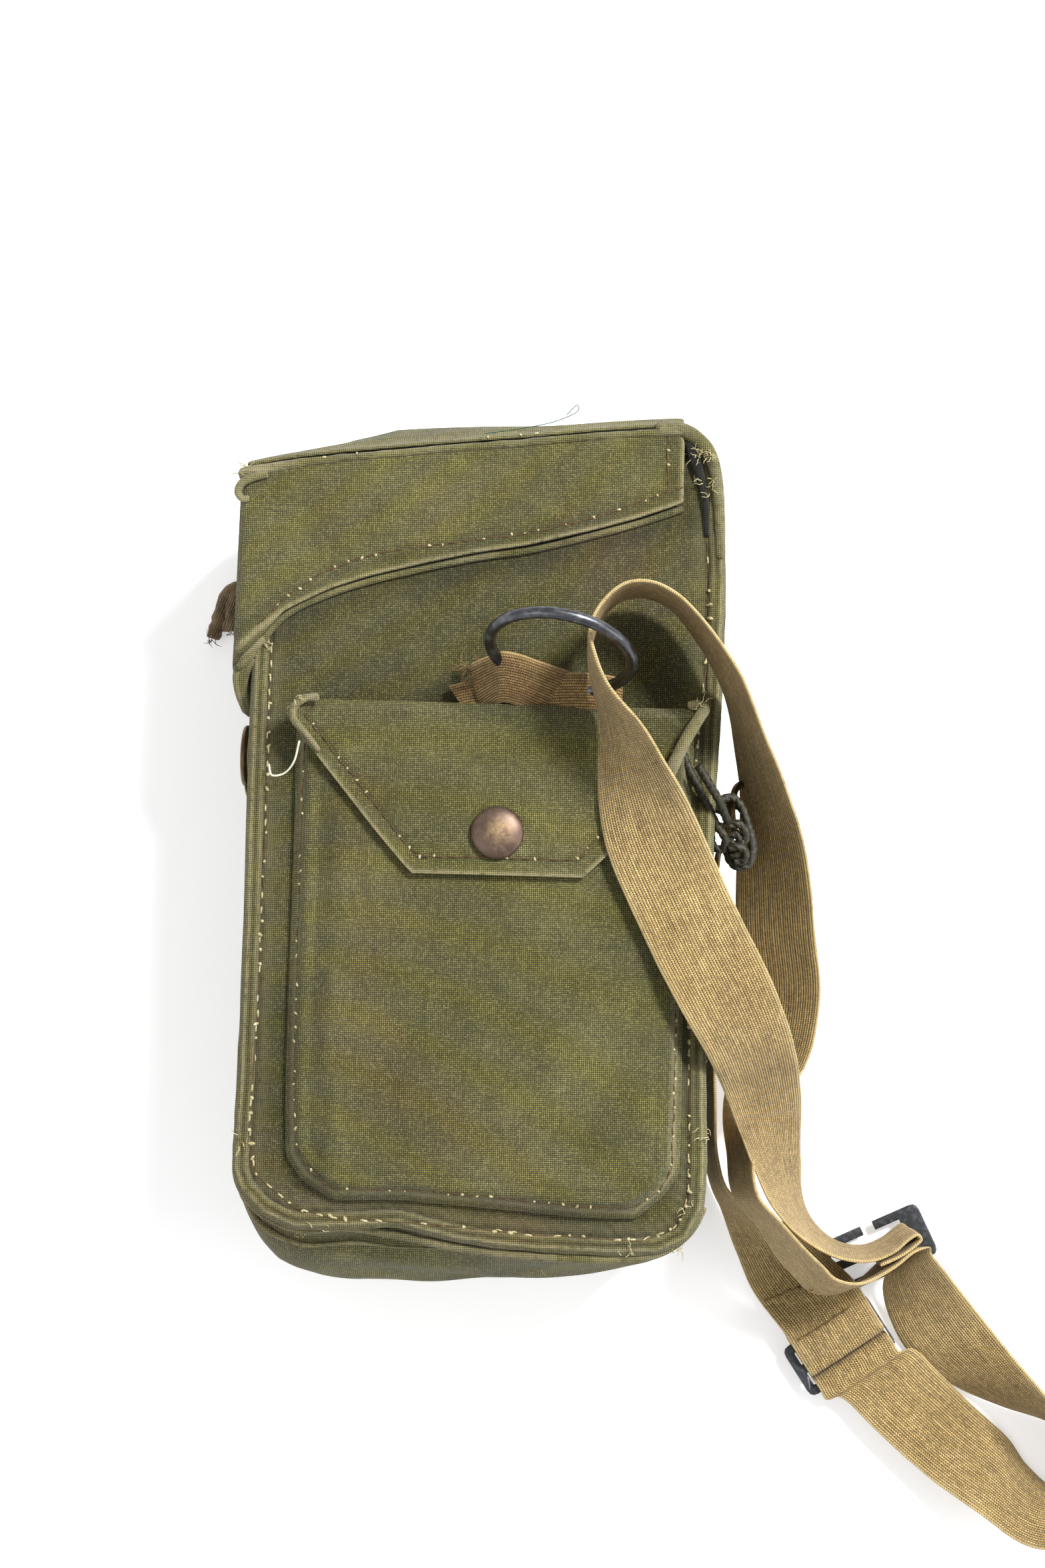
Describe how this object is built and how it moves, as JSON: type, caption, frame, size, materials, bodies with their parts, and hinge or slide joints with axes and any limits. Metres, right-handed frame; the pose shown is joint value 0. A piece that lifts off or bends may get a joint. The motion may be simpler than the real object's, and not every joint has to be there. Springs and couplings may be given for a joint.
{
  "type": "gas mask bag",
  "caption": "Canvas haversack for a respirator with an overhanging lid, a front pocket closed by a snap flap, a front ring and a long webbing sling with slider buckles.",
  "frame": {"origin": "centre of the flat back panel's outer face, which lies on the surface", "axes": "+Z out of the bag's front, away from the surface; +Y from the bag's bottom to its lid; +X to the right of the front as seen from above"},
  "size_m": [0.3365, 0.3971, 0.1402],
  "materials": {
    "green_canvas": "thick plain-weave cotton canvas, worn and faded",
    "worn_canvas": "the same canvas, worn pale along the fold",
    "tan_webbing": "ribbed cotton webbing",
    "brown_tape": "narrow woven binding tape",
    "waxed_cord": "thin waxed cotton cord",
    "dark_steel": "dark aged steel with worn bright spots",
    "aged_brass": "dull brown aged brass",
    "black_paint": "black lacquer, worn at the edges"
  },
  "bodies": {
    "root": {"front_panel": "green_canvas", "back_panel": "green_canvas", "front_seam": "green_canvas", "back_seam": "green_canvas", "gusset": "green_canvas", "lid_front": "green_canvas", "lid_piping": "worn_canvas", "lid_top": "green_canvas", "pocket": "green_canvas", "pocket_flap": "green_canvas", "snap_cap": "aged_brass", "ring": "dark_steel", "ring_tab": "tan_webbing", "slider_1": "black_paint", "slider_2": "black_paint", "side_strap": "tan_webbing", "sling": "tan_webbing", "side_ring_right": "aged_brass", "side_tab_right": "tan_webbing", "side_ring_left": "aged_brass", "side_tab_left": "tan_webbing", "tape_loop": "brown_tape", "tie_cord": "waxed_cord", "cord_knot": "waxed_cord"}
  },
  "joints": []
}
